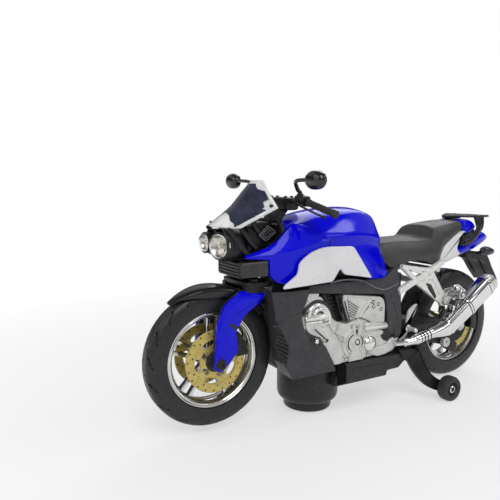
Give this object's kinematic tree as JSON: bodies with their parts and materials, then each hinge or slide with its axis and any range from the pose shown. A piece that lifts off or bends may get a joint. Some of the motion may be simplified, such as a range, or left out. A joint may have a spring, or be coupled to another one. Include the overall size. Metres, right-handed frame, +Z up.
{
  "type": "toy motorcycle",
  "caption": "Battery-driven toy street motorcycle on spoked wheels, with a turning drive pod under the belly and two small outrigger wheels.",
  "frame": {"origin": "on the floor, under the middle of the bounding box", "axes": "+X forward, +Y to the rider's left, +Z up"},
  "size_m": [0.2733, 0.1032, 0.1443],
  "materials": {
    "front_tyre": "satin",
    "front_rim": "plated plastic",
    "front_disc_left": "gold paint",
    "front_disc_right": "gold paint",
    "rear_tyre": "satin",
    "rear_rim": "plated plastic",
    "rear_disc": "gold paint",
    "front_axle": "blackened",
    "fork_leg_left": "gloss",
    "fork_leg_right": "gloss",
    "front_caliper_left": "moulded",
    "front_caliper_right": "moulded",
    "front_mudguard": "semi gloss",
    "fork_bridge": "moulded",
    "headlight_housing": "moulded",
    "headlight_lens": "clear moulding",
    "nose_grille": "moulded",
    "nose_cheek_left": "moulded",
    "nose_cheek_right": "moulded",
    "windscreen": "clear with a smoked panel",
    "instrument_pod": "moulded",
    "handlebar": "moulded",
    "grip_left": "ribbed",
    "grip_right": "ribbed",
    "mirror_left": "gloss back",
    "mirror_right": "gloss back",
    "tank_cover": "gloss",
    "side_panel_left": "pearl",
    "side_panel_right": "pearl",
    "body_half_left": "moulded",
    "body_half_right": "moulded",
    "engine_left": "silver paint",
    "engine_right": "silver paint",
    "radiator_cowl": "moulded",
    "belly_pan": "moulded",
    "battery_door": "moulded",
    "battery_cell_1": "wrapped can",
    "battery_cell_2": "wrapped can",
    "power_switch": "moulded",
    "pod_housing": "moulded",
    "drive_pod": "moulded",
    "drive_axle": "drawn rod",
    "drive_wheel_left": "matte",
    "drive_wheel_right": "matte",
    "drive_motor": "drawn can",
    "seat": "fine grain",
    "subframe": "silver paint",
    "tail_shell": "pearl",
    "tail_cowl": "gloss",
    "grab_rail": "moulded",
    "rear_mudguard": "semi gloss",
    "swingarm": "moulded",
    "rear_axle": "drawn rod",
    "rear_caliper": "moulded",
    "exhaust_pipe": "plated plastic",
    "muffler": "plated plastic",
    "outrigger_frame": "moulded",
    "outrigger_wheel_left": "moulded",
    "outrigger_wheel_right": "moulded"
  },
  "bodies": {
    "frame": {"front_axle": "front_axle", "fork_leg_left": "fork_leg_left", "fork_leg_right": "fork_leg_right", "front_caliper_left": "front_caliper_left", "front_caliper_right": "front_caliper_right", "front_mudguard": "front_mudguard", "fork_bridge": "fork_bridge", "headlight_housing": "headlight_housing", "headlight_lens": "headlight_lens", "nose_grille": "nose_grille", "nose_cheek_left": "nose_cheek_left", "nose_cheek_right": "nose_cheek_right", "windscreen": "windscreen", "instrument_pod": "instrument_pod", "handlebar": "handlebar", "grip_left": "grip_left", "grip_right": "grip_right", "mirror_left": "mirror_left", "mirror_right": "mirror_right", "tank_cover": "tank_cover", "side_panel_left": "side_panel_left", "side_panel_right": "side_panel_right", "body_half_left": "body_half_left", "body_half_right": "body_half_right", "engine_left": "engine_left", "engine_right": "engine_right", "radiator_cowl": "radiator_cowl", "belly_pan": "belly_pan", "battery_door": "battery_door", "battery_cell_1": "battery_cell_1", "battery_cell_2": "battery_cell_2", "pod_housing": "pod_housing", "drive_motor": "drive_motor", "seat": "seat", "subframe": "subframe", "tail_shell": "tail_shell", "tail_cowl": "tail_cowl", "grab_rail": "grab_rail", "rear_mudguard": "rear_mudguard", "swingarm": "swingarm", "rear_axle": "rear_axle", "rear_caliper": "rear_caliper", "exhaust_pipe": "exhaust_pipe", "muffler": "muffler", "outrigger_frame": "outrigger_frame"},
    "front_wheel": {"front_tyre": "front_tyre", "front_rim": "front_rim", "front_disc_left": "front_disc_left", "front_disc_right": "front_disc_right"},
    "rear_wheel": {"rear_tyre": "rear_tyre", "rear_rim": "rear_rim", "rear_disc": "rear_disc"},
    "outrigger_left": {"outrigger_wheel_left": "outrigger_wheel_left"},
    "outrigger_right": {"outrigger_wheel_right": "outrigger_wheel_right"},
    "drive_pod": {"drive_pod": "drive_pod"},
    "drive_axle": {"drive_axle": "drive_axle", "drive_wheel_left": "drive_wheel_left", "drive_wheel_right": "drive_wheel_right"},
    "switch_knob": {"power_switch": "power_switch"}
  },
  "joints": [
    {"name": "front_wheel_spin", "type": "hinge", "parent": "frame", "child": "front_wheel", "pos_m": [0.09865, 0, 0.0415], "axis": [0, 1, 0], "continuous": true},
    {"name": "rear_wheel_spin", "type": "hinge", "parent": "frame", "child": "rear_wheel", "pos_m": [-0.08935, 0, 0.0388], "axis": [0, 1, 0], "continuous": true},
    {"name": "outrigger_spin_left", "type": "hinge", "parent": "frame", "child": "outrigger_left", "pos_m": [-0.05175, 0.0398, 0.008], "axis": [0, 1, 0], "continuous": true},
    {"name": "outrigger_spin_right", "type": "hinge", "parent": "frame", "child": "outrigger_right", "pos_m": [-0.05175, -0.0398, 0.008], "axis": [0, 1, 0], "continuous": true},
    {"name": "pod_turn", "type": "hinge", "parent": "frame", "child": "drive_pod", "pos_m": [0.03105, 0, 0.0088], "axis": [0, 0, 1], "continuous": true},
    {"name": "drive_spin", "type": "hinge", "parent": "drive_pod", "child": "drive_axle", "pos_m": [0.03105, 0, 0.0066], "axis": [0, 1, 0], "continuous": true},
    {"name": "switch_slide", "type": "slide", "parent": "frame", "child": "switch_knob", "axis": [0, 1, 0], "range_m": [0, 0.004]}
  ]
}
